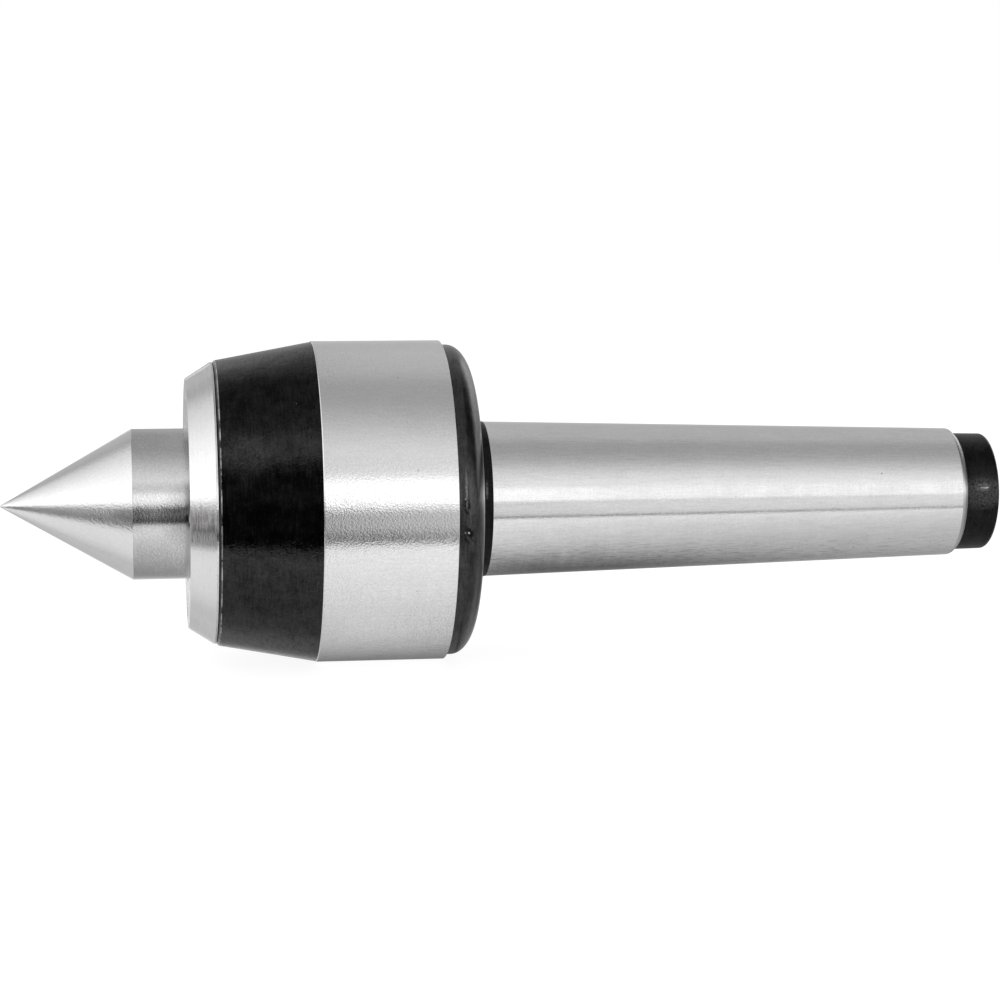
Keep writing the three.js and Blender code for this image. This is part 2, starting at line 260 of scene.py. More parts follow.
def between(tree, value, low, high, to_low=0.0, to_high=1.0, smooth=False):
    """Maps low..high to to_low..to_high, clamped."""
    inputs = {"Value": value, "From Min": low, "From Max": high, "To Min": to_low, "To Max": to_high}
    kind = "SMOOTHSTEP" if smooth else "LINEAR"
    return node(tree, "MapRange", inputs, interpolation_type=kind).outputs["Result"]


def blended(tree, factor, a, b):
    """Mixes two colours, given as RGBA tuples or sockets."""
    mix = node(tree, "Mix", {"Factor": factor}, data_type="RGBA")
    for socket, value in ((mix.inputs[6], a), (mix.inputs[7], b)):
        if isinstance(value, bpy.types.NodeSocket):
            tree.links.new(value, socket)
        else:
            socket.default_value = value
    return mix.outputs[2]


def grey(value, tint=(1, 1, 1)):
    return (value * tint[0], value * tint[1], value * tint[2], 1)


def new_material(name):
    material = bpy.data.materials.new(name)
    material.use_nodes = True
    material.node_tree.nodes.clear()
    return material, material.node_tree


def finish_material(tree, inputs):
    shader = node(tree, "BsdfPrincipled", inputs)
    output = node(tree, "OutputMaterial")
    tree.links.new(shader.outputs[0], output.inputs["Surface"])


def position_mm(tree):
    """The place on the piece in mm, as a vector and as its three parts."""
    coordinates = node(tree, "TexCoord").outputs["Object"]
    scaled = node(tree, "VectorMath", {0: coordinates, "Scale": 1 / MM}, operation="SCALE").outputs[0]
    parts = node(tree, "SeparateXYZ", {0: scaled})
    return scaled, parts.outputs[0], parts.outputs[1], parts.outputs[2]


def noise(tree, vector, scale, detail=3.0, roughness=0.55):
    inputs = {"Vector": vector, "Scale": scale, "Detail": detail, "Roughness": roughness}
    return node(tree, "TexNoise", inputs).outputs["Fac"]


def stretched(tree, x, y, z, along, across):
    """A vector for patterns that are finer along the axis than round it, or the other way."""
    return node(tree, "CombineXYZ", {
        0: maths(tree, "MULTIPLY", x, along),
        1: maths(tree, "MULTIPLY", y, across),
        2: maths(tree, "MULTIPLY", z, across),
    }).outputs[0]


def specks(tree, vector, per_mm, size, share):
    """1 in small round spots: size is their radius as a share of a cell, share how many cells have one."""
    cells = node(tree, "TexVoronoi", {"Vector": vector, "Scale": per_mm, "Randomness": 1.0})
    spot = between(tree, cells.outputs["Distance"], size, size * 0.5)
    chosen = node(tree, "SeparateColor", {0: cells.outputs["Color"]}).outputs[0]
    return maths(tree, "MULTIPLY", spot, maths(tree, "LESS_THAN", chosen, share))


def spread(tree, value, amount):
    """Turns noise round 0.5 into a change round 0."""
    return maths(tree, "MULTIPLY", maths(tree, "SUBTRACT", value, 0.5), amount)


def summed(tree, *values, clamp=False):
    total = values[0]
    for value in values[1:-1]:
        total = maths(tree, "ADD", total, value)
    return maths(tree, "ADD", total, values[-1], clamp=clamp)


def relief(tree, height_mm):
    """A normal bumped by a height in mm."""
    return node(tree, "Bump", {"Strength": 1.0, "Distance": MM, "Height": height_mm}).outputs[0]


def oval(tree, x, y, z, spot):
    """A soft oval on the side towards -Y: its station and height, half length and half height, in mm."""
    middle, height, half_length, half_height = spot
    along = maths(tree, "DIVIDE", maths(tree, "SUBTRACT", x, TIP_X / MM + middle), half_length)
    across = maths(tree, "DIVIDE", maths(tree, "SUBTRACT", z, height), half_height)
    distance = maths(tree, "SQRT", maths(tree, "ADD", maths(tree, "MULTIPLY", along, along),
                                         maths(tree, "MULTIPLY", across, across)))
    return maths(tree, "MULTIPLY", between(tree, distance, 1.0, 0.5), maths(tree, "LESS_THAN", y, 0.0))


# ---------------------------------------------------------------- materials

# Scales of patterns are in cells per mm, and depths in mm.

def bright_steel(name, tone, roughness, lines, speckle, streaks=0.0, line_mm=0.002, grain_mm=0.01,
                 streak_mm=0.0, line_haze=0.1, lines_per_mm=3.0, line_reach=0.05, drag=0.0,
                 underside=(-7.0, -13.0), anisotropy=0.9, tint=(1, 1, 1), darkened_place=None):
    """Machined bare steel: tool lines run round the axis, with grain, faint stains, pits and scratches.

    lines, speckle and streaks are how much the tool lines, the grain and the streaks along the axis
    change the colour; line_mm, grain_mm and streak_mm how deep they are. line_haze is how much the
    tool lines change the roughness and line_reach one over the length of a line in mm. drag is the
    strength of the scratches along the underside, which starts and is full at the two heights of
    underside, in mm. The last argument is a place whose colour is darkened, as oval takes it: on the
    nose it is painted shade next to the cap.
    """
    material, tree = new_material(name)
    place_mm, x, y, z = position_mm(tree)
    marks = noise(tree, stretched(tree, x, y, z, lines_per_mm, line_reach), 1.0, 4.0, 0.65)
    grain = noise(tree, place_mm, 2.4, 2.0, 0.7)
    cloud = noise(tree, place_mm, 0.16, 4.0, 0.6)
    streak = noise(tree, stretched(tree, x, y, z, 0.16, 2.2), 1.0, 3.0, 0.65)
    long_scratch = noise(tree, stretched(tree, x, y, z, 0.35, 4.0), 1.0, 4.0, 0.65)
    scratched = between(tree, long_scratch, 0.5, 0.66)
    low = between(tree, z, *underside, 0.12, 1.0)
    scratched = maths(tree, "MULTIPLY", scratched, maths(tree, "MULTIPLY", low, drag))
    pits = specks(tree, place_mm, 0.42, 0.075, 0.07)

    shade = summed(tree, spread(tree, marks, lines), spread(tree, grain, speckle),
                   spread(tree, cloud, 0.16), spread(tree, streak, streaks))
    level = maths(tree, "MULTIPLY", maths(tree, "ADD", shade, 1.0), tone)
    losses = [(pits, 0.55), (scratched, 0.45)]
    # A darkened place; on the nose this is painted shade next to the cap.
    if darkened_place:
        losses.append((oval(tree, x, y, z, darkened_place), 0.34))
    for mask, loss in losses:
        kept = maths(tree, "SUBTRACT", 1.0, maths(tree, "MULTIPLY", mask, loss))
        level = maths(tree, "MULTIPLY", level, kept)
    colour = node(tree, "CombineColor", {i: maths(tree, "MULTIPLY", level, tint[i]) for i in range(3)})

    rough = summed(tree, roughness, spread(tree, cloud, 0.12), spread(tree, marks, line_haze),
                   maths(tree, "MULTIPLY", pits, 0.3), clamp=True)
    height = summed(tree, spread(tree, marks, line_mm), spread(tree, grain, grain_mm),
                    spread(tree, streak, streak_mm), maths(tree, "MULTIPLY", pits, -0.01),
                    maths(tree, "MULTIPLY", scratched, -0.01))
    finish_material(tree, {
        "Base Color": colour.outputs[0], "Metallic": 1.0, "Roughness": rough,
        "Anisotropic": anisotropy, "Tangent": node(tree, "CombineXYZ", {0: 1.0}).outputs[0],
        "Normal": relief(tree, height),
    })
    return material


def black_oxide(name, tone, roughness, sheen, lines, waves, line_haze=0.12, bare_edges=(), pitted=(),
                scuffs_and_painted_highlights=()):
    """Blackened steel: dark skin over tool lines, mottled sheen, faint smears, wear and painted highlights.

    sheen is how much light the skin mirrors, lines the strength of the tool lines and waves that of
    the unevenness. line_haze is how much the tool lines change the roughness. bare_edges are
    stations in mm of edges worn through in a thin broken line. pitted places are eaten by small dark
    pits. The lightened places, each with the reflectance of its grey after its place, are made
    lighter: rubbed scuffs, and painted highlights on the neck and the spigot. Both lists hold places
    as oval takes them.
    """
    material, tree = new_material(name)
    place_mm, x, y, z = position_mm(tree)
    marks = noise(tree, stretched(tree, x, y, z, 2.6, 0.3), 1.0, 4.0, 0.65)
    cloud = noise(tree, place_mm, 0.3, 5.0, 0.65)
    fine = noise(tree, place_mm, 2.4, 3.0, 0.7)
    swell = noise(tree, place_mm, 0.5, 3.0, 0.6)
    slanted = maths(tree, "ADD", z, maths(tree, "MULTIPLY", x, 0.16))
    smear = between(tree, noise(tree, stretched(tree, x, y, slanted, 0.08, 1.1), 1.0, 3.0), 0.6, 0.72)
    chips = specks(tree, place_mm, 0.5, 0.06, 0.04)

    bare = chips
    for edge in bare_edges:
        distance = maths(tree, "ABSOLUTE", maths(tree, "SUBTRACT", x, TIP_X / MM + edge))
        line = maths(tree, "MULTIPLY", between(tree, distance, 0.14, 0.05), between(tree, cloud, 0.42, 0.6))
        bare = maths(tree, "MAXIMUM", bare, line)
    pits = 0.0
    for spot in pitted:
        eaten = oval(tree, x, y, z, spot)
        holes = between(tree, noise(tree, place_mm, 1.3, 3.0), 0.46, 0.5)
        glint = specks(tree, place_mm, 1.3, 0.35, 0.16)
        pits = maths(tree, "MAXIMUM", pits, maths(tree, "MULTIPLY", eaten, holes))
        bare = maths(tree, "MAXIMUM", bare, maths(tree, "MULTIPLY", eaten, glint))
    dull = blended(tree, between(tree, cloud, 0.4, 0.7), grey(tone, (1, 1, 1.04)), grey(tone * 2.2 + 0.002))
    # Lightened places: rubbed scuffs, and painted highlights on the neck and the spigot.
    for *spot, shade in scuffs_and_painted_highlights:
        lightened = maths(tree, "MULTIPLY", oval(tree, x, y, z, spot), between(tree, fine, 0.3, 0.7))
        dull = blended(tree, lightened, dull, grey(shade))
    colour = blended(tree, bare, dull, grey(0.6))

    mottle = summed(tree, cloud, spread(tree, marks, 1.1 * lines), spread(tree, fine, 0.9),
                    maths(tree, "MULTIPLY", smear, 0.14))
    shine = between(tree, mottle, 0.2, 0.8, sheen * 0.52, sheen * 1.48)
    shine = maths(tree, "MULTIPLY", shine, between(tree, pits, 0.0, 1.0, 1.0, 0.1))
    rough = summed(tree, roughness, spread(tree, cloud, 0.2), spread(tree, marks, line_haze),
                   maths(tree, "MULTIPLY", bare, 0.1), clamp=True)
    height = summed(tree, spread(tree, marks, 0.006 * lines), spread(tree, fine, 0.022),
                    spread(tree, swell, 0.07 * waves), maths(tree, "MULTIPLY", chips, -0.01))
    finish_material(tree, {
        "Base Color": colour, "Metallic": maths(tree, "MULTIPLY", bare, 0.95), "Roughness": rough,
        "Specular IOR Level": shine, "Normal": relief(tree, height),
    })
    return material


def polished_steel(name):
    """Bearing balls and needles: near mirror, with faint rolling haze."""
    material, tree = new_material(name)
    place_mm, *_ = position_mm(tree)
    haze = noise(tree, place_mm, 0.8, 4.0)
    finish_material(tree, {
        "Base Color": blended(tree, haze, grey(0.66), grey(0.78, (1, 1, 1.02))), "Metallic": 1.0,
        "Roughness": between(tree, haze, 0.3, 0.7, 0.05, 0.14),
    })
    return material


def machined_brass(name):
    material, tree = new_material(name)
    place_mm, x, y, z = position_mm(tree)
    marks = noise(tree, stretched(tree, x, y, z, 5.0, 0.1), 1.0, 3.0)
    tarnish = noise(tree, place_mm, 0.35, 4.0)
    bright = blended(tree, marks, (0.62, 0.43, 0.16, 1), (0.78, 0.58, 0.25, 1))
    bump = node(tree, "Bump", {"Strength": 0.3, "Distance": 0.004 * MM, "Height": marks})
    finish_material(tree, {
        "Base Color": blended(tree, between(tree, tarnish, 0.45, 0.8), bright, (0.3, 0.2, 0.09, 1)),
        "Metallic": 1.0, "Roughness": between(tree, tarnish, 0.3, 0.8, 0.24, 0.45),
        "Normal": bump.outputs[0],
    })
    return material


def seal_rubber(name):
    material, tree = new_material(name)
    place_mm, *_ = position_mm(tree)
    pebble = noise(tree, place_mm, 4.0, 4.0, 0.7)
    dust = noise(tree, place_mm, 0.4, 4.0)
    bump = node(tree, "Bump", {"Strength": 0.4, "Distance": 0.02 * MM, "Height": pebble})
    finish_material(tree, {
        "Base Color": blended(tree, between(tree, dust, 0.5, 0.8), grey(0.014), grey(0.045)),
        "Roughness": between(tree, pebble, 0.3, 0.7, 0.5, 0.72), "Specular IOR Level": 0.4,
        "Normal": bump.outputs[0],
    })
    return material


# ---------------------------------------------------------------- sizes of the visible turned shapes, mm

CONE_END = 62.33
CONE_END_RADIUS = 32.36
GROUND_START = 62.5
GROUND_END = 88.35
LEDGE_START = 88.5
LEDGE_RADIUS = 31.62
REAR_FACE = 94.3
RIM_ALONG = 4.4
RIM_ACROSS = 7.0
NECK_RADIUS = 15.9
TAPER_START = 97.4
TAPER_START_RADIUS = 15.83
TAPER_END = 195.75
MORSE_HALF_RATE = 0.5 / 19.254  # radius lost per mm of a Morse taper 4
CORNER_RADIUS = 1.05
SPIGOT_START = 196.55
SPIGOT_RADIUS = 12.22
SPIGOT_END_RADIUS = 12.08
FRONT_EDGE_RADIUS = 28.8
FACE_RADIUS = 25.2
CHAMFER_END = 42.1

# Fits of the pieces that are inside, mm.
THREAD_PITCH = 1.5
THREAD_DEPTH = 0.85
THREAD_RUNOUT = 1.1  # from the housing's front to the first turn
SEAT_GAP = 0.05  # between a piece and the seat that holds it


def taper_radius(s):
    return TAPER_START_RADIUS - (s - TAPER_START) * MORSE_HALF_RATE


# ---------------------------------------------------------------- pieces of the housing

def build_body(finishes):
    """Bearing housing and Morse shank: black cone, ground band, black rim and neck, ground taper, spigot."""
    GROUND, BLACK, RIM, DULL, TAPER, MACHINED = range(6)
    bearing_bore = RACE_RADIUS + SEAT_GAP
    bearing_rear = RACE_REAR + SEAT_GAP
    thrust_bore = HOUSE_WASHER_RADIUS + SEAT_GAP
    needle_bore = SHELL_RADIUS + SEAT_GAP
    thread_bore = 25.0
    relief_bore = 20.4
    relief_end = 65.5
    thrust_end = SPRING_REAR + 0.1
    needle_end = SHELL_REAR + 0.3
    drill_slope = math.tan(math.radians(59))
    inside = [
        (needle_end + needle_bore / drill_slope, 0, 0, MACHINED),
        (needle_end, needle_bore, 0.1, MACHINED),
        (thrust_end, needle_bore, 0.4, MACHINED),
        (thrust_end, thrust_bore, 0.2, MACHINED),
        (relief_end, thrust_bore, 0.3, MACHINED),
        (relief_end, relief_bore, 0.2, MACHINED),
        (bearing_rear, relief_bore, 0.3, MACHINED),
        (bearing_rear, bearing_bore, 0.2, MACHINED),
        (CAP_REAR + SEAT_GAP, bearing_bore, 0.3, MACHINED),
        (CAP_REAR + SEAT_GAP, thread_bore + 0.1, 0.1, MACHINED),
    ]
    inside += thread(CAP_REAR - 0.6, BODY_FRONT + THREAD_RUNOUT, thread_bore,
                     thread_bore - THREAD_DEPTH, THREAD_PITCH, MACHINED)
    inside += [
        (BODY_FRONT + 0.9, thread_bore, 0, MACHINED),
        (BODY_FRONT, thread_bore + 0.7, 0.05, BLACK),
    ]
    outside = [
        (BODY_FRONT, FRONT_EDGE_RADIUS - 0.4, 0.1, BLACK),
        (BODY_FRONT + 0.4, FRONT_EDGE_RADIUS, 0.15, BLACK),
        (CONE_END, CONE_END_RADIUS, 0.03, GROUND),
        (GROUND_START, BODY_RADIUS, 0.06, GROUND),
        (GROUND_END, BODY_RADIUS, 0.08, GROUND),
        (LEDGE_START, LEDGE_RADIUS, 0.05, RIM),
    ]
    outside += arc(REAR_FACE - RIM_ALONG, LEDGE_RADIUS - RIM_ACROSS, RIM_ALONG, RIM_ACROSS, 90, 0, 24, RIM)
    outside += [
        (REAR_FACE, NECK_RADIUS, 0.8, DULL),
        (TAPER_START - 0.15, NECK_RADIUS, 0.05, DULL),
        (TAPER_START, TAPER_START_RADIUS, 0, TAPER),
        (TAPER_END, taper_radius(TAPER_END), CORNER_RADIUS, MACHINED),
        (SPIGOT_START, SPIGOT_RADIUS + 0.25, 0.1, TAPER),
        (SPIGOT_START + 0.05, SPIGOT_RADIUS, 0, DULL),
        (OVERALL_LENGTH, SPIGOT_END_RADIUS, 0.9, DULL),
    ]
    hole_radius = 4.0
    drill_radius = 1.6
    hole_slope = math.tan(math.radians(30))
    hole_front = OVERALL_LENGTH - 0.7
    centre_hole = [
        (OVERALL_LENGTH, hole_radius + 1.2, 0.05, MACHINED),
        (hole_front, hole_radius, 0.05, MACHINED),
        (hole_front - (hole_radius - drill_radius) / hole_slope, drill_radius, 0.1, MACHINED),
        (OVERALL_LENGTH - 10, drill_radius, 0, MACHINED),
        (OVERALL_LENGTH - 11, 0, 0, MACHINED),
    ]
    piece = lathe("body_look", inside + outside + centre_hole, finishes, segments=SEGMENTS)
    return place(piece, "housing")


def build_front_cap(turned):
    """Threaded ring with a wide chamfer and four blind holes for a pin spanner."""
    bore = 15.5
    recess = SEAL_RADIUS + SEAT_GAP
    thread_root = 24.0
    flange_rear = BODY_FRONT - SEAT_GAP
    seal_seat = SEAL_FRONT - SEAT_GAP
    corners = [
        (CAP_FRONT, bore, 0.35, 0),
        (CAP_FRONT, FACE_RADIUS, 0.12, 0),
        (CHAMFER_END, CAP_RADIUS, 0.06, 0),
        (flange_rear - 0.15, CAP_RADIUS, 0.05, 0),
        (flange_rear, CAP_RADIUS - 0.2, 0.04, 0),
        (flange_rear, thread_root, 0.2, 0),
    ]
    corners += thread(BODY_FRONT + THREAD_RUNOUT, CAP_REAR - 0.6, thread_root,
                      thread_root + THREAD_DEPTH, THREAD_PITCH)
    corners += [
        (CAP_REAR - 0.5, thread_root, 0, 0),
        (CAP_REAR, thread_root - 0.4, 0.1, 0),
        (CAP_REAR, recess, 0.2, 0),
        (seal_seat, recess, 0.3, 0),
        (seal_seat, bore, 0.15, 0),
    ]
    piece = lathe("front_cap_look", corners, [turned], closed=True, segments=SEGMENTS)
    hole_count = 4
    hole_circle = 21.0
    hole_radius = 1.9
    hole_depth = 3.5
    drill_tip = 1.1
    chamfer = 0.3
    hole = [
        (CAP_FRONT - chamfer, 0, 0, 0),
        (CAP_FRONT - chamfer, hole_radius + 2 * chamfer, 0, 0),
        (CAP_FRONT + chamfer, hole_radius, 0.05, 0),
        (CAP_FRONT + hole_depth, hole_radius, 0.1, 0),
        (CAP_FRONT + hole_depth + drill_tip, 0, 0, 0),
    ]
    angles = [2 * math.pi * k / hole_count for k in range(hole_count)]
    spots = [Vector((0, math.sin(a), math.cos(a))) * hole_circle * MM for a in angles]
    return place(cut(piece, cutters_at(spots, hole, 32, turned)), "housing")


def build_front_seal(rubber):
    """Lip seal: an outer wall, a web and a lip that runs on the spindle, held by a garter groove."""
    bore = NOSE_RADIUS + 0.12
    wall = 1.5
    lip = SEAL_REAR - 1.2
    corners = [
        (SEAL_FRONT, bore + 0.5, 0.3, 0),
        (SEAL_FRONT, SEAL_RADIUS, 0.3, 0),
        (SEAL_REAR, SEAL_RADIUS, 0.3, 0),
        (SEAL_REAR, SEAL_RADIUS - wall, 0.3, 0),
        (SEAL_FRONT + wall, SEAL_RADIUS - wall, 0.4, 0),
        (SEAL_FRONT + wall, bore + wall, 0.4, 0),
        (SEAL_REAR - 1.9, bore + 1.1, 0.3, 0),
        (lip, bore + 0.75, 0.3, 0),
        (SEAL_REAR - 0.5, bore + 1.15, 0.2, 0),
        (SEAL_REAR, bore + 0.9, 0.2, 0),
        (lip, bore, 0.1, 0),
        (SEAL_FRONT + wall, bore + 0.45, 0.3, 0),
    ]
    return place(lathe("front_seal_look", corners, [rubber], closed=True), "housing")


# ---------------------------------------------------------------- spindle

def build_spindle(finishes):
    """The 60 degree point on its nose, then the stepped journals that carry the bearings."""
    POINT, NOSE, JOURNAL = range(3)
    shoulder = RACE_FRONT - SEAT_GAP
    front_journal = 12.45
    groove_radius = 11.7
    thrust_journal = 9.95
    rear_journal = 7.45
    thrust_shoulder = SHAFT_WASHER_FRONT - 0.1
    rear_step = HOUSE_WASHER_REAR + 1.1
    chamfer = 0.8
    groove_front = CLIP_FRONT - SEAT_GAP
    groove_rear = CLIP_REAR + SEAT_GAP
    hole_radius = 2.6
    drill_radius = 0.9
    tip_radius = 0.12
    cone_slope = math.tan(math.radians(30))
    corners = [
        (0, 0, 0, POINT),
        (0.08, tip_radius, 0.08, POINT),
        (NOSE_RADIUS / cone_slope, NOSE_RADIUS, 0.12, NOSE),
        (shoulder, NOSE_RADIUS, 0.3, JOURNAL),
        (shoulder, front_journal, 0.25, JOURNAL),
        (groove_front, front_journal, 0.03, JOURNAL),
        (groove_front, groove_radius, 0.08, JOURNAL),
        (groove_rear, groove_radius, 0.08, JOURNAL),
        (groove_rear, front_journal, 0.03, JOURNAL),
        (thrust_shoulder, front_journal, 0.3, JOURNAL),
        (thrust_shoulder, thrust_journal, 0.25, JOURNAL),
        (rear_step, thrust_journal, 0.2, JOURNAL),
        (rear_step + chamfer, rear_journal, 0.4, JOURNAL),
        (SPINDLE_END - chamfer, rear_journal, 0.2, JOURNAL),
        (SPINDLE_END, rear_journal - chamfer, 0.2, JOURNAL),
        (SPINDLE_END, hole_radius, 0.05, JOURNAL),
        (SPINDLE_END - 3, drill_radius, 0.1, JOURNAL),
        (SPINDLE_END - 5, drill_radius, 0, JOURNAL),
        (SPINDLE_END - 5.5, 0, 0, JOURNAL),
    ]
    piece = lathe("spindle_look", corners, finishes, segments=SEGMENTS)
    return place(piece, "spindle")


def build_circlip(spring):
    """External retaining ring: a C with two lugs, each with a hole for pliers, edges slightly rolled."""
    inner, outer, lug = 12.0, 14.8, 17.2
    gap, lug_width = math.radians(9), math.radians(12)
    hole_radius = 1.0
    roll = 0.1
    curve = bpy.data.curves.new("circlip_outline", "CURVE")
    curve.dimensions = "2D"
    curve.fill_mode = "BOTH"
    curve.extrude = ((CLIP_REAR - CLIP_FRONT) / 2 - roll) * MM
    curve.bevel_depth = roll * MM
    curve.bevel_resolution = 2

    def add_loop(points):
        spline = curve.splines.new("POLY")
        spline.points.add(len(points) - 1)
        for target, (a, b) in zip(spline.points, points):
            target.co = (a * MM, b * MM, 0, 1)
        spline.use_cyclic_u = True

    def sweep(radius, start, end, steps):
        angles = [start + (end - start) * k / steps for k in range(steps + 1)]
        return [(radius * math.cos(a), radius * math.sin(a)) for a in angles]

    full = 2 * math.pi
    lug_end = gap + lug_width
    neck = lug_end + 0.03
    add_loop(sweep(lug - roll, gap, lug_end, 6)
             + sweep(outer - roll, neck, full - neck, 96)
             + sweep(lug - roll, full - lug_end, full - gap, 6)
             + sweep(inner + roll, full - gap, gap, 96))
    reach = (outer + lug) / 2 - hole_radius / 2
    for side in (-1, 1):
        angle = side * (gap + lug_width / 2)
        centre = (reach * math.cos(angle), reach * math.sin(angle))
        ring = sweep(hole_radius + roll, 0, full, 24)[:-1]
        add_loop([(centre[0] + a, centre[1] + b) for a, b in ring])
    holder = link_object("circlip_outline", curve)
    bpy.context.view_layer.update()
    mesh = bpy.data.meshes.new_from_object(holder.evaluated_get(bpy.context.evaluated_depsgraph_get()))
    bpy.data.objects.remove(holder)
    turn = Matrix.Rotation(math.pi / 2, 4, "Y")
    middle = Matrix.Translation((TIP_X + (CLIP_FRONT + CLIP_REAR) / 2 * MM, 0, 0))
    mesh.transform(middle @ turn)
    mesh.materials.clear()
    mesh.materials.append(spring)
    return place(link_object("bearing_circlip_look", mesh), "spindle")


# ---------------------------------------------------------------- bearings

BALL_TRACK_CLEARANCE = 0.12
RACE_EDGE = 0.6


def centre_of(name):
    low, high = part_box(name)
    return (low + high) / 2


def ball_size(name):
    """Station, distance from the axis and radius in mm of a ball node."""
    low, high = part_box(name)
    centre = centre_of(name)
    return station(centre.x), math.hypot(centre.y, centre.z) / MM, (high.x - low.x) / 2 / MM


def ball_outline(middle, radius, steps):
    """Corners of a half circle, from front to rear."""
    corners = arc(middle, 0, radius, radius, 180, 0, steps)
    corners[0] = (middle - radius, 0, 0, 0)
    corners[-1] = (middle + radius, 0, 0, 0)
    return corners


def numbered(prefix):
    """The nodes that are named with a prefix and a number, in order."""
    return sorted(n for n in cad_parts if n.startswith(prefix) and n[len(prefix):].isdigit())


def add_rolling(names, body, outline, segments, material):
    """A ball or needle for each node, all sharing one mesh."""
    shared = None
    for name in names:
        if shared is None:
            piece = lathe(name + "_look", outline, [material], segments=segments)
            shared = piece.data
        else:
            piece = link_object(name + "_look", shared)
        centre = centre_of(name)
        piece.location = (0, centre.y, centre.z)
        place(piece, body)


def build_ring(name, body, corners, material):
    place(lathe(name + "_look", corners, [material], closed=True), body)


def build_cage(name, body, inside, edge, segments, cutters, brass):
    """A ring of rectangular section with a pocket or slot for each ball or needle."""
    start, end, outside = span(name)
    corners = [
        (start, inside, edge, 0),
        (start, outside, edge, 0),
        (end, outside, edge, 0),
        (end, inside, edge, 0),
    ]
    cage = lathe(name + "_look", corners, [brass], closed=True, segments=segments)
    place(cut(cage, cutters), body)


def build_ball_cage(name, body, inside, edge, segments, names, pocket, brass):
    """A cage with a round pocket, of a radius a little larger than the ball's, at every ball."""
    outline = ball_outline(station(centre_of(names[0]).x), pocket, 14)
    cutters = cutters_at([centre_of(n) for n in names], outline, 28, brass)
    build_cage(name, body, inside, edge, segments, cutters, brass)


def build_front_bearing(race, brass, balls):
    """Deep groove ball bearing: two races with shield grooves, a cage and its balls."""
    names = numbered("front_ball_")
    middle, pitch, ball = ball_size(names[0])
    track = ball + BALL_TRACK_CLEARANCE
    outer_land, inner_land, bore = 20.4, 15.6, 12.5
    outer_reach = math.degrees(math.acos((outer_land - pitch) / track))
    inner_reach = math.degrees(math.acos((pitch - inner_land) / track))
    groove = outer_land + 0.5
    groove_edges = ((1.2, outer_land), (1.35, groove), (1.9, groove), (2.05, outer_land))
    corners = [
        (RACE_FRONT, outer_land, 0.2, 0),
        (RACE_FRONT, RACE_RADIUS, RACE_EDGE, 0),
        (RACE_REAR, RACE_RADIUS, RACE_EDGE, 0),
        (RACE_REAR, outer_land, 0.2, 0),
    ]
    corners += [(RACE_REAR - depth, r, 0.1, 0) for depth, r in groove_edges]
    corners += arc(middle, pitch, track, track, 90 - outer_reach, 90 + outer_reach, 16)
    corners += [(RACE_FRONT + depth, r, 0.1, 0) for depth, r in reversed(groove_edges)]
    build_ring("front_bearing_outer_race", "housing", corners, race)

    corners = [(RACE_FRONT, bore, 0.5, 0), (RACE_FRONT, inner_land, 0.3, 0)]
    corners += arc(middle, pitch, track, track, 270 - inner_reach, 270 + inner_reach, 16)
    corners += [(RACE_REAR, inner_land, 0.3, 0), (RACE_REAR, bore, 0.5, 0)]
    build_ring("front_bearing_inner_race", "spindle", corners, race)

    inside = span("front_bearing_cage")[2] - 2.8
    build_ball_cage("front_bearing_cage", "front_cage", inside, 0.3, 120, names, ball + 0.15, brass)
    add_rolling(names, "front_cage", ball_outline(middle, ball, 24), 48, balls)


def build_thrust_bearing(race, brass, balls):
    """Two washers with ball tracks in their faces, a cage and its balls."""
    names = numbered("thrust_ball_")
    middle, pitch, ball = ball_size(names[0])
    track = ball + BALL_TRACK_CLEARANCE
    shaft_bore, housing_bore, cage_bore = 10.0, 10.6, 10.35

    reach = math.degrees(math.acos((middle - SHAFT_WASHER_REAR) / track))
    corners = [
        (SHAFT_WASHER_FRONT, shaft_bore, 0.4, 0),
        (SHAFT_WASHER_FRONT, SHAFT_WASHER_RADIUS, 0.5, 0),
        (SHAFT_WASHER_REAR, SHAFT_WASHER_RADIUS, 0.3, 0),
    ]
    corners += arc(middle, pitch, track, track, 180 - reach, 180 + reach, 14)
    corners += [(SHAFT_WASHER_REAR, shaft_bore, 0.3, 0)]
    build_ring("thrust_shaft_washer", "spindle", corners, race)

    reach = math.degrees(math.acos((HOUSE_WASHER_FRONT - middle) / track))
    corners = [(HOUSE_WASHER_FRONT, housing_bore, 0.3, 0)]
    corners += arc(middle, pitch, track, track, -reach, reach, 14)
    corners += [
        (HOUSE_WASHER_FRONT, HOUSE_WASHER_RADIUS, 0.3, 0),
        (HOUSE_WASHER_REAR, HOUSE_WASHER_RADIUS, 0.5, 0),
        (HOUSE_WASHER_REAR, housing_bore, 0.4, 0),
    ]
    build_ring("thrust_housing_washer", "housing", corners, race)

    build_ball_cage("thrust_cage", "thrust_cage", cage_bore, 0.2, 144, names, ball + 0.1, brass)
    add_rolling(names, "thrust_cage", ball_outline(middle, ball, 24), 48, balls)


def build_disc_spring(spring):
    """A slightly coned spring washer."""
    inside, thickness = 10.65, 1.0
    rise = SPRING_REAR - SPRING_FRONT - thickness
    corners = [
        (SPRING_FRONT + rise, inside, 0.2, 0),
        (SPRING_FRONT, SPRING_RADIUS, 0.2, 0),
        (SPRING_FRONT + thickness, SPRING_RADIUS, 0.2, 0),
        (SPRING_REAR, inside, 0.2, 0),
    ]
    build_ring("preload_disc_spring", "housing", corners, spring)


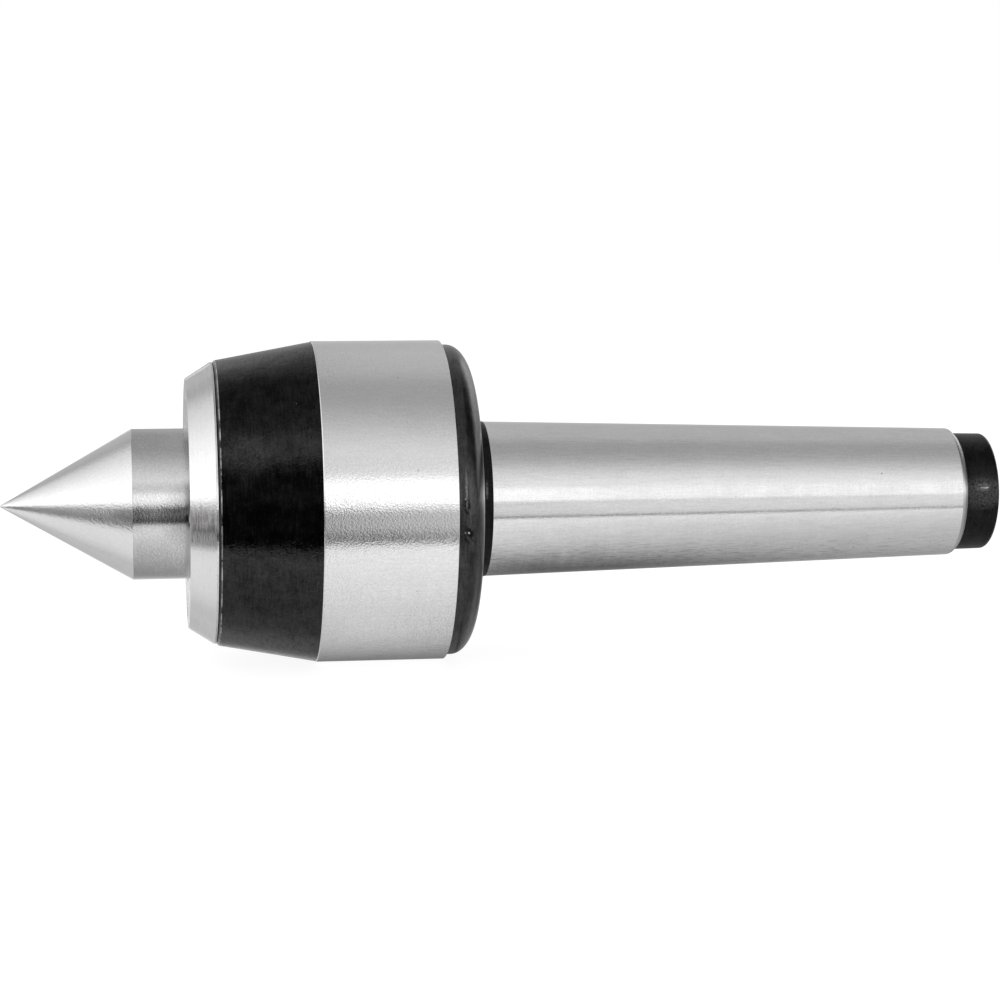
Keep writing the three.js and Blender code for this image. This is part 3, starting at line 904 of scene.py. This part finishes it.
def build_needle_bearing(race, brass, balls):
    """Drawn cup with rolled lips, a slotted cage and the needles in it."""
    wall, lip, lip_thickness = 0.9, 8.3, 0.8
    corners = [
        (SHELL_FRONT, lip, 0.3, 0),
        (SHELL_FRONT, SHELL_RADIUS, 0.7, 0),
        (SHELL_REAR, SHELL_RADIUS, 0.7, 0),
        (SHELL_REAR, lip, 0.3, 0),
        (SHELL_REAR - lip_thickness, lip, 0.2, 0),
        (SHELL_REAR - lip_thickness, SHELL_RADIUS - wall, 0.1, 0),
        (SHELL_FRONT + lip_thickness, SHELL_RADIUS - wall, 0.1, 0),
        (SHELL_FRONT + lip_thickness, lip, 0.2, 0),
    ]
    build_ring("needle_shell", "housing", corners, race)

    names = numbered("needle_")
    needle_radius = 1.0
    end_gap, side_gap = 0.15, 0.12
    slot_radius = needle_radius + side_gap
    slot = [
        (NEEDLE_FRONT - end_gap, 0, 0, 0),
        (NEEDLE_FRONT - end_gap, slot_radius, 0.3, 0),
        (NEEDLE_REAR + end_gap, slot_radius, 0.3, 0),
        (NEEDLE_REAR + end_gap, 0, 0, 0),
    ]
    cutters = cutters_at([centre_of(n) for n in names], slot, 24, brass)
    inside = span("needle_cage")[2] - 1.15
    build_cage("needle_cage", "needle_cage", inside, 0.2, 112, cutters, brass)

    play = 0.02
    outline = [
        (NEEDLE_FRONT, 0, 0, 0),
        (NEEDLE_FRONT, needle_radius - play, 0.3, 0),
        (NEEDLE_REAR, needle_radius - play, 0.3, 0),
        (NEEDLE_REAR, 0, 0, 0),
    ]
    add_rolling(names, "needle_cage", outline, 24, balls)


# ---------------------------------------------------------------- stage, light and camera

CAMERA_DISTANCE = 533 * MM
CAMERA_SIDE = math.radians(8.44)  # how far the camera stands towards the point
CAMERA_RISE = math.radians(6.3)
CAMERA_LENS = 93.5
AIM = Vector((-0.8 * MM, 0, -0.33 * MM))
FLOOR_SIZE = 8.0


def level(shown):
    """Linear light from a display level of 0 to 255, or a little above for a lamp."""
    c = shown / 255
    return c / 12.92 if c <= 0.04045 else ((c + 0.055) / 1.055) ** 2.4


# What bare metal mirrors, as (degrees above the line of sight, display level), by angle round the
# X axis. Each list holds for directions that lean a certain share of the way along the axis: from
# -1, towards the point's end, to 1, towards the shank's end. A dark gap near the middle is where
# the camera stands between two lamps.
POINT_LEANING = [
    (-180, 200), (-152, 188), (-140, 180), (-122, 188), (-93, 200), (-58, 206), (-45, 212),
    (-41, 118), (-34, 84), (-26, 82), (-18, 110), (-11, 148), (-5, 178), (0, 210), (5, 265), (50, 260),
    (65, 250), (79, 240), (93, 226), (107, 214), (122, 206), (141, 190), (163, 160), (180, 160),
]
SLANTED_LEANING = [
    (-180, 200), (-152, 188), (-140, 184), (-122, 198), (-93, 216), (-60, 220), (-53, 202),
    (-50, 104), (-42, 76), (-34, 110), (-25, 196), (-17, 184), (-9, 206), (-3, 228), (2, 265), (50, 260),
    (65, 250), (79, 240), (93, 226), (107, 214), (122, 206), (141, 190), (163, 160), (180, 160),
]
GAP_LEANING = [
    (-180, 190), (-158, 176), (-145, 180), (-130, 188), (-108, 160), (-76, 170), (-62, 178),
    (-49, 210), (-41, 214), (-39, 190), (-37, 16), (-20, 4), (-5, 20), (3, 66), (12, 56), (17, 46), (25, 56),
    (31, 150), (36, 200), (46, 190), (55, 130), (74, 100), (89, 80), (106, 94), (128, 160), (145, 172),
    (158, 166), (180, 170),
]
CREST_LEANING = [(angle, 215 if 135 < angle < 170 else shown) for angle, shown in GAP_LEANING]
STRAIGHT = [
    (-180, 228), (-172, 200), (-157, 165), (-143, 138), (-128, 132), (-106, 139), (-74, 162), (-47, 188),
    (-34, 186), (-31, 150), (-29.5, 46), (-23, 16), (-12, 40), (-5, 58), (-2, 170), (4, 230), (13, 234),
    (17, 216), (24, 198), (35, 212), (47, 200), (60, 186), (74, 163), (89, 143), (106, 136), (128, 134),
    (150, 152), (172, 150), (180, 160),
]


def nose_share(angle):
    """How much of the straight light the nose mirrors: little in the dark gap, less than all beside it."""
    if -31 < angle < -3:
        return 0.35
    if -3 < angle < 28:
        return 0.88
    return 1.0


NOSE_LEANING = [(angle, shown * nose_share(angle)) for angle, shown in STRAIGHT]
BAND_LEANING = [
    (-180, 110), (-157, 116), (-143, 146), (-128, 180), (-106, 215), (-89, 225), (-74, 236), (-60, 243),
    (-47, 249), (-32.5, 252), (-31, 238), (-30, 66), (-27, 88), (-23, 152), (-17, 190), (-10, 172),
    (-6.5, 186), (-5, 305), (14, 305), (15.5, 238), (24, 221), (35, 213), (47, 197), (60, 175), (74, 159),
    (89, 159), (106, 179), (128, 180), (150, 168), (168, 172), (180, 172),
]
SHANK_LEANING = [
    (-180, 150), (-157, 96), (-143, 62), (-128, 60), (-106, 102), (-89, 150), (-74, 182), (-60, 200),
    (-47, 208), (-36, 222), (-32, 228), (-31, 214), (-30, 118), (-28.7, 132), (-27, 206), (-23, 214),
    (-12, 220), (-5.5, 212), (-4, 244), (11, 244), (15.5, 230), (24, 222), (35, 208), (47, 184), (60, 160),
    (74, 149), (89, 151), (106, 168), (128, 170), (150, 166), (180, 170),
]
TAIL_LEANING = [
    (-180, 180), (-157, 150), (-143, 150), (-128, 162), (-106, 176), (-89, 180), (-74, 186), (-60, 196),
    (-47, 206), (-36, 218), (-32, 222), (-31, 210), (-30, 118), (-28.7, 132), (-27, 202), (-23, 210),
    (-12, 214), (-5.5, 208), (-4, 232), (11, 232), (15.5, 232), (24, 228), (35, 216), (47, 194), (60, 172),
    (74, 160), (89, 156), (106, 170), (128, 170), (150, 166), (180, 170),
]
RIM_LEANING = [
    (-180, 70), (-165, 115), (-143, 190), (-115, 168), (-60, 168), (-24, 214), (-7, 262), (-3, 300),
    (14, 300), (22, 224), (40, 130), (75, 50), (100, 66), (118, 135), (143, 285), (165, 200), (180, 70),
]
# Lists in order along the axis: each with where the change from the one before starts and ends, and
# the level under which its stops take a warm tint.
LIGHT_LISTS = [
    (POINT_LEANING, -1.0, -1.0, 150),
    (SLANTED_LEANING, -0.865, -0.85, 150),
    (GAP_LEANING, -0.62, -0.42, 0),
    (CREST_LEANING, -0.16, -0.12, 0),
    (STRAIGHT, -0.1, -0.05, 100),
    (NOSE_LEANING, 0.014, 0.022, 100),
    (BAND_LEANING, 0.035, 0.06, 0),
    (SHANK_LEANING, 0.13, 0.17, 0),
    (TAIL_LEANING, 0.17, 0.31, 0),
    (RIM_LEANING, 0.4, 0.46, 0),
]
WARM_TINT = (1.04, 0.98, 1.0)
STEEL_TONE = 0.72
HEADROOM = 1.5  # a colour ramp holds up to 1, so lamps brighter than white are kept scaled down


def light_band(tree, angle, stops, warm_below=0):
    """A grey that follows stops of (degrees above the line of sight, display level)."""
    ramp = node(tree, "ValToRGB", {"Fac": between(tree, angle, -180, 180)})
    elements = ramp.color_ramp.elements
    while len(elements) < len(stops):
        elements.new(0.5)
    for element, (degrees, shown) in zip(elements, stops):
        element.position = (degrees + 180) / 360
        element.color = grey(level(shown) / HEADROOM, WARM_TINT if shown < warm_below else (1, 1, 1))
    return ramp.outputs["Color"]


def light_world():
    """White to the camera. To everything else, a studio of soft bands that run along the axis."""
    world = bpy.data.worlds.new("studio")
    world.use_nodes = True
    tree = world.node_tree
    tree.nodes.clear()
    direction = node(tree, "TexCoord").outputs["Generated"]
    x, y, z = node(tree, "SeparateXYZ", {0: direction}).outputs
    angle = maths(tree, "ARCTAN2", z, maths(tree, "MULTIPLY", y, -1.0))
    angle = maths(tree, "SUBTRACT", maths(tree, "DEGREES", angle), math.degrees(CAMERA_RISE))
    angle = maths(tree, "WRAP", angle, 180.0, -180.0)
    bands = None
    for stops, start, end, warm_below in LIGHT_LISTS:
        here = light_band(tree, angle, stops, warm_below)
        if bands is not None:
            here = blended(tree, between(tree, x, start, end, smooth=True), bands, here)
        bands = here
    camera_ray = node(tree, "LightPath").outputs["Is Camera Ray"]
    mirrored = node(tree, "Background", {"Color": bands, "Strength": HEADROOM / STEEL_TONE})
    white = node(tree, "Background", {"Color": grey(1.0), "Strength": 1.0})
    chosen = node(tree, "MixShader", {0: camera_ray, 1: mirrored.outputs[0], 2: white.outputs[0]})
    output = node(tree, "OutputWorld")
    tree.links.new(chosen.outputs[0], output.inputs["Surface"])
    bpy.context.scene.world = world


def lay_floor():
    """A plain white floor that the housing rests on. It takes a faint shadow and isn't mirrored."""
    material, tree = new_material("white_floor")
    diffuse = node(tree, "BsdfDiffuse", {"Color": grey(0.2)})
    glow = node(tree, "Emission", {"Color": grey(1.0), "Strength": 0.92})
    both = node(tree, "AddShader", {0: diffuse.outputs[0], 1: glow.outputs[0]})
    output = node(tree, "OutputMaterial")
    tree.links.new(both.outputs[0], output.inputs["Surface"])
    half = FLOOR_SIZE / 2
    z = -BODY_RADIUS * MM
    corners = [(-half, -half, z), (half, -half, z), (half, half, z), (-half, half, z)]
    floor = mesh_object("floor", corners, [(0, 1, 2, 3)], [0], [material])
    floor.visible_glossy = False
    floor.visible_diffuse = False


def add_soft_light():
    """A large soft lamp overhead, for the faint shadow on the floor."""
    lamp = bpy.data.lights.new("overhead", "AREA")
    lamp.shape = "RECTANGLE"
    lamp.size, lamp.size_y = 1.4, 1.0
    lamp.energy = 6
    holder = link_object("overhead", lamp)
    holder.location = (0, -0.1, 1.2)
    holder.visible_glossy = False


def aim_camera():
    """Stands the camera in front of the -Y side, a little towards the point and above the axis."""
    across = Vector((math.sin(CAMERA_SIDE), math.cos(CAMERA_SIDE), 0)) * math.cos(CAMERA_RISE)
    towards = across - Vector((0, 0, math.sin(CAMERA_RISE)))
    data = bpy.data.cameras.new("camera")
    data.lens = CAMERA_LENS
    data.clip_start = 0.01
    data.clip_end = 50
    camera = link_object("camera", data)
    camera.location = AIM - towards * CAMERA_DISTANCE
    camera.rotation_euler = towards.to_track_quat("-Z", "Y").to_euler()
    bpy.context.scene.camera = camera


# ---------------------------------------------------------------- assembly

# Worn and darkened places and painted highlights as oval takes them, with the reflectance of its grey
# after each scuff, scratch and painted highlight.
# Places where the colour of the point and of the cap is darkened.
POINT_DARKENED = (27.0, -0.4, 6.5, 1.7)
# Painted shade: the nose is darkened next to the cap, where the cap shades it.
NOSE_PAINTED_SHADE = (38.4, -0.9, 7.5, 7.6)
CAP_DARKENED = (39.8, -3.7, 7.0, 2.9)
CONE_SCUFF = [(48.0, 12.0, 5.0, 5.5, 0.02)]
RIM_PITTING = [(90.0, 2.0, 0.8, 2.2), (90.4, -3.6, 1.1, 2.2)]
RIM_SCRATCH = [(89.9, 5.4, 0.3, 4.4, 0.2)]
# Painted highlight: a lighter streak on the neck where its glossy fillet would mirror the bright lamp strip.
NECK_PAINTED_HIGHLIGHT = [(96.1, 3.4, 0.3, 2.2, 0.2)]
# The spigot's broad first patch is a painted highlight of the lamp strip across its middle; the two small
# ones are a rubbed scuff and a bright scratch.
SPIGOT_WEAR_AND_HIGHLIGHT = [(200.0, 0.9, 5.6, 4.0, 0.085), (199.9, 2.0, 1.8, 1.0, 0.16), (200.4, 1.9, 1.1, 0.2, 0.7)]


def build_object():
    ground = bright_steel("ground_steel", STEEL_TONE, roughness=0.12, lines=0.08, speckle=0.24, streaks=0.1,
                          grain_mm=0.024, drag=0.7, underside=(-25.0, -31.0))
    taper = bright_steel("taper_steel", STEEL_TONE, roughness=0.12, lines=0.06, speckle=0.23, streaks=0.19,
                         grain_mm=0.008, drag=1.1, tint=(1, 1, 1.006))
    turned = bright_steel("turned_steel", STEEL_TONE, roughness=0.14, lines=0.36, speckle=0.1, line_mm=0.022,
                          grain_mm=0.016, line_haze=0.6, lines_per_mm=2.4, line_reach=0.3,
                          darkened_place=CAP_DARKENED)
    point = bright_steel("point_steel", STEEL_TONE, roughness=0.14, lines=0.03, speckle=0.14, streaks=0.06,
                         line_mm=0.001, grain_mm=0.02, streak_mm=0.024, anisotropy=0.78,
                         darkened_place=POINT_DARKENED)
    nose = bright_steel("nose_steel", STEEL_TONE, roughness=0.14, lines=0.02, speckle=0.36, streaks=0.1,
                        line_mm=0.0, grain_mm=0.012, anisotropy=0.4, darkened_place=NOSE_PAINTED_SHADE)
    machined = bright_steel("machined_steel", tone=0.5, roughness=0.32, lines=0.28, speckle=0.06,
                            line_mm=0.006, lines_per_mm=2.0)
    race = bright_steel("bearing_steel", tone=0.62, roughness=0.16, lines=0.12, speckle=0.03,
                        grain_mm=0.004, lines_per_mm=6.0)
    cone_oxide = black_oxide("cone_oxide", tone=0.0012, roughness=0.13, sheen=0.45, lines=1.0, waves=0.9,
                             line_haze=0.45, bare_edges=(BODY_FRONT + 0.4,), scuffs_and_painted_highlights=CONE_SCUFF)
    rim_oxide = black_oxide("rim_oxide", tone=0.004, roughness=0.22, sheen=0.5, lines=1.2, waves=0.2,
                            pitted=RIM_PITTING, scuffs_and_painted_highlights=RIM_SCRATCH)
    dull_oxide = black_oxide("dull_oxide", tone=0.0012, roughness=0.34, sheen=0.16, lines=0.8, waves=0.4,
                             scuffs_and_painted_highlights=NECK_PAINTED_HIGHLIGHT + SPIGOT_WEAR_AND_HIGHLIGHT)
    spring = black_oxide("phosphated_spring", tone=0.02, roughness=0.42, sheen=0.35, lines=0.6, waves=0.5)
    rubber = seal_rubber("nitrile_rubber")
    balls = polished_steel("polished_bearing_steel")
    brass = machined_brass("machined_brass")

    build_body([ground, cone_oxide, rim_oxide, dull_oxide, taper, machined])
    build_front_cap(turned)
    build_front_seal(rubber)
    build_spindle([point, nose, machined])
    build_circlip(spring)
    build_front_bearing(race, brass, balls)
    build_thrust_bearing(race, brass, balls)
    build_disc_spring(spring)
    build_needle_bearing(race, brass, balls)


build_object()
lay_floor()
light_world()
add_soft_light()
aim_camera()
bpy.context.scene.view_settings.view_transform = "Standard"
